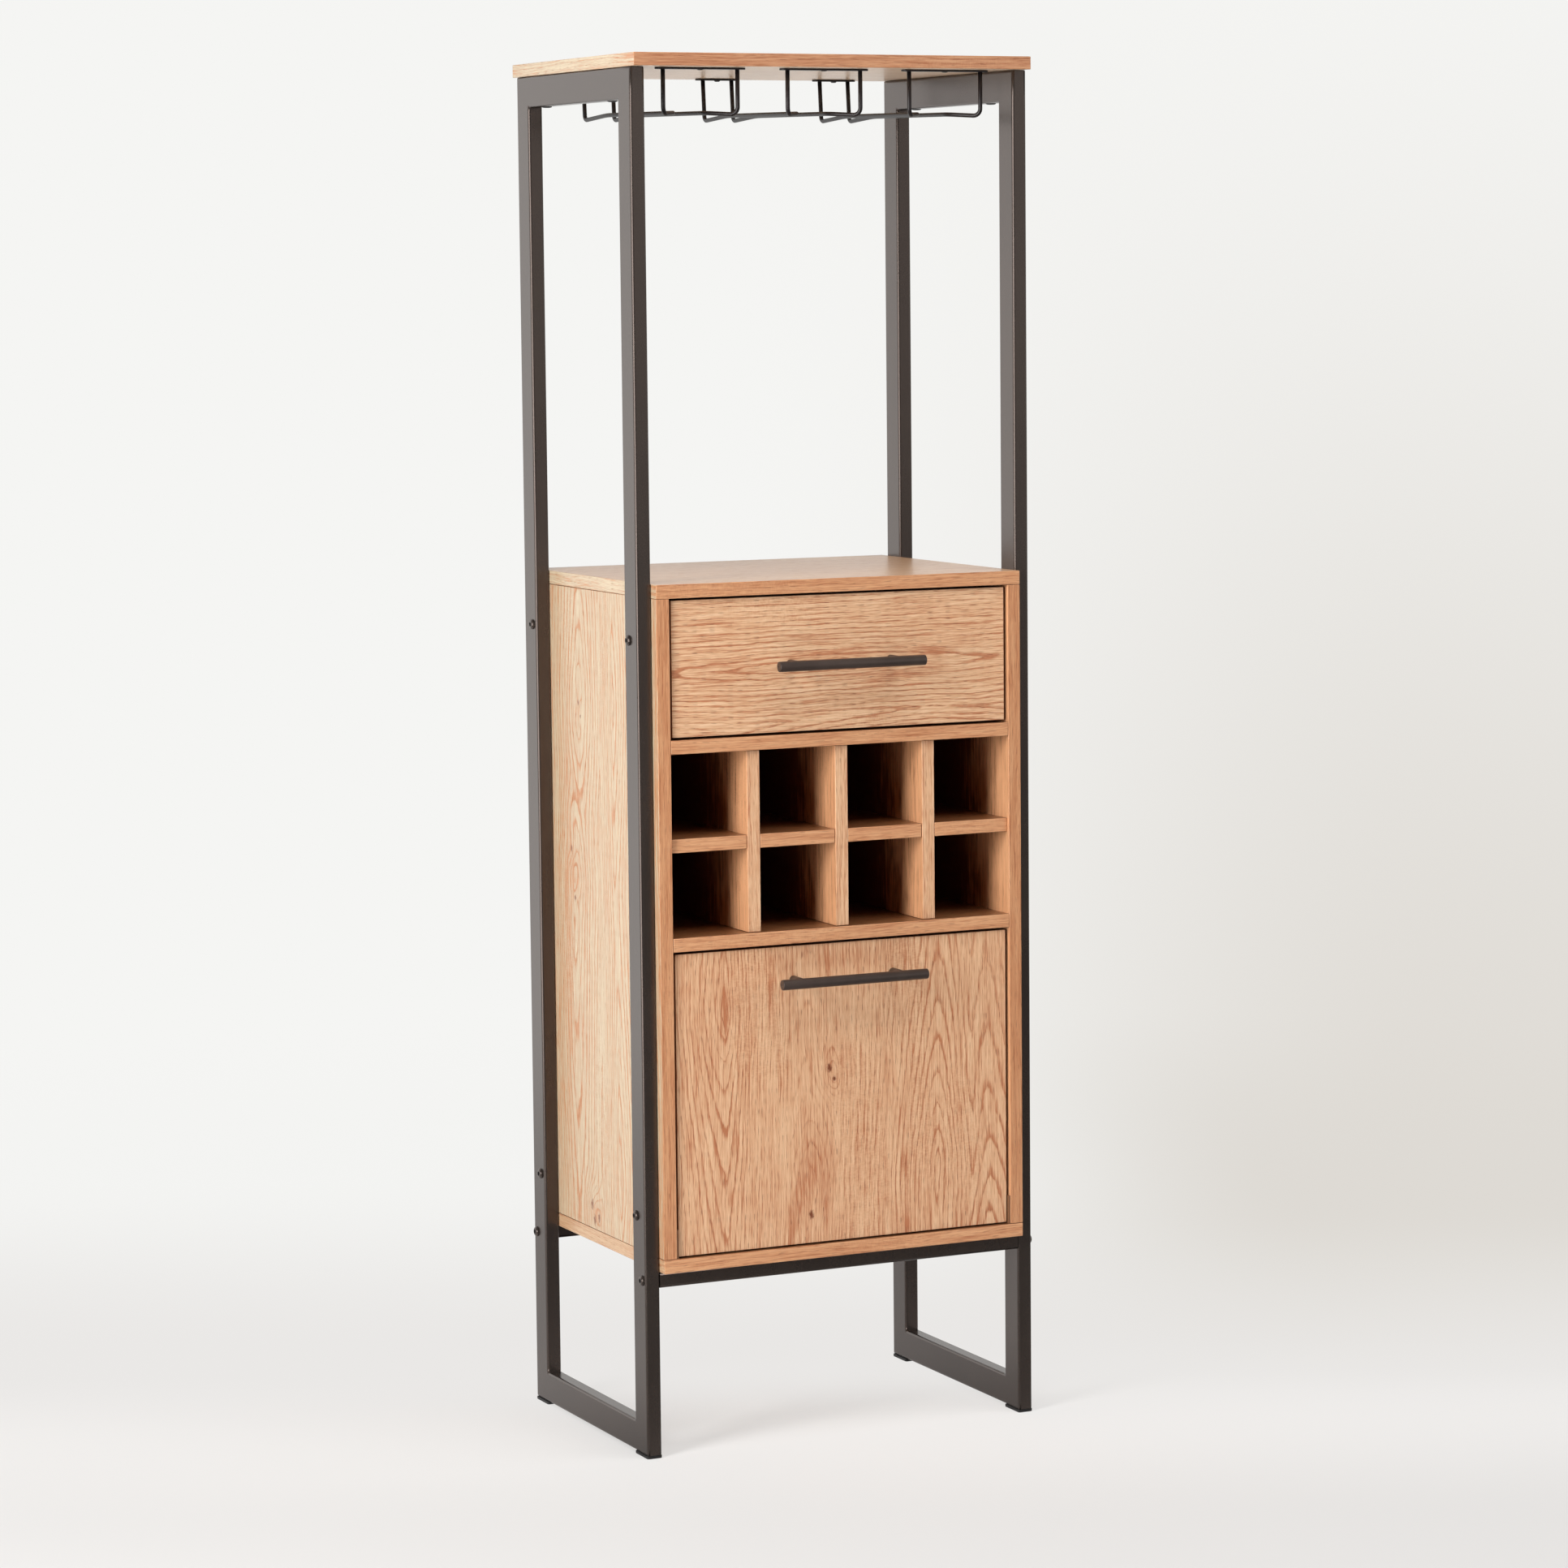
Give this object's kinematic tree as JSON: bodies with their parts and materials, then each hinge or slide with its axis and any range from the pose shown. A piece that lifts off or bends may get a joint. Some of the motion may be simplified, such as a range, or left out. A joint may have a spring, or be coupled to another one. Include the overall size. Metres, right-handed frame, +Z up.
{
  "type": "tall bar cabinet",
  "caption": "Tall steel-framed bar cabinet with a drawer, bottle cells, a drop-down flap compartment and hanging rails for stemmed glasses.",
  "frame": {"origin": "on the floor, under the middle of the whole object's box", "axes": "+Z up, -Y towards the front with the drawer and the flap, +X to the right as seen from the front"},
  "size_m": [0.5066, 0.396, 1.6],
  "materials": {
    "powder_coat": "satin charcoal powder coat",
    "oak_board": "matt oak-effect board with banded edges",
    "hardboard": "dark matt hardboard",
    "black_plastic": "moulded, matt",
    "bolt_black": "black oxide",
    "handle_coat": "satin charcoal coat",
    "zinc_steel": "zinc plated"
  },
  "bodies": {
    "cabinet": {"left_front_post": "powder_coat", "left_rear_post": "powder_coat", "right_front_post": "powder_coat", "right_rear_post": "powder_coat", "left_top_rail": "powder_coat", "left_bottom_rail": "powder_coat", "right_top_rail": "powder_coat", "right_bottom_rail": "powder_coat", "front_crossbar": "powder_coat", "rear_crossbar": "powder_coat", "left_front_foot": "black_plastic", "left_rear_foot": "black_plastic", "right_front_foot": "black_plastic", "right_rear_foot": "black_plastic", "bolt_left_front_upper": "bolt_black", "bolt_left_front_lower": "bolt_black", "bolt_left_front_crossbar": "bolt_black", "bolt_left_rear_upper": "bolt_black", "bolt_left_rear_lower": "bolt_black", "bolt_left_rear_crossbar": "bolt_black", "bolt_right_front_upper": "bolt_black", "bolt_right_front_lower": "bolt_black", "bolt_right_front_crossbar": "bolt_black", "bolt_right_rear_upper": "bolt_black", "bolt_right_rear_lower": "bolt_black", "bolt_right_rear_crossbar": "bolt_black", "top_panel": "oak_board", "stemware_rail_1": "powder_coat", "stemware_rail_2": "powder_coat", "stemware_rail_3": "powder_coat", "cabinet_top": "oak_board", "cabinet_bottom": "oak_board", "cabinet_left_side": "oak_board", "cabinet_right_side": "oak_board", "back_panel": "hardboard", "upper_shelf": "oak_board", "lower_shelf": "oak_board", "bottle_shelf": "oak_board", "bottle_divider_1": "oak_board", "bottle_divider_2": "oak_board", "bottle_divider_3": "oak_board", "runner_cabinet_left": "zinc_steel", "runner_cabinet_right": "zinc_steel", "pivot_plate_left": "zinc_steel", "pivot_plate_right": "zinc_steel", "flap_catch": "black_plastic", "stay_base": "zinc_steel"},
    "drawer": {"drawer_front": "oak_board", "drawer_left_side": "oak_board", "drawer_right_side": "oak_board", "drawer_back": "oak_board", "drawer_bottom": "hardboard", "drawer_handle": "handle_coat", "runner_drawer_left": "zinc_steel", "runner_drawer_right": "zinc_steel"},
    "flap": {"flap": "oak_board", "flap_handle": "handle_coat", "stay_bracket": "zinc_steel"},
    "stay_arm": {"stay_arm": "zinc_steel"},
    "stay_housing": {"stay_housing": "black_plastic"}
  },
  "joints": [
    {"name": "drawer_slide", "type": "slide", "parent": "cabinet", "child": "drawer", "axis": [0, -1, 0], "range_m": [0, 0.24]},
    {"name": "flap_hinge", "type": "hinge", "parent": "cabinet", "child": "flap", "pos_m": [0, -0.152, 0.25527], "axis": [1, 0, 0], "range_deg": [0, 90]},
    {"name": "stay_arm_pivot", "type": "hinge", "parent": "flap", "child": "stay_arm", "pos_m": [0.2031, -0.132, 0.40566], "axis": [1, 0, 0], "range_deg": [-45, 0]},
    {"name": "stay_housing_swivel", "type": "hinge", "parent": "cabinet", "child": "stay_housing", "pos_m": [0.2031, -0.04001, 0.35762], "axis": [1, 0, 0], "range_deg": [0, 45]}
  ],
  "couplings": [
    {"joint": "stay_arm_pivot", "follows": "flap_hinge", "ratio": -0.5},
    {"joint": "stay_housing_swivel", "follows": "flap_hinge", "ratio": 0.5}
  ]
}
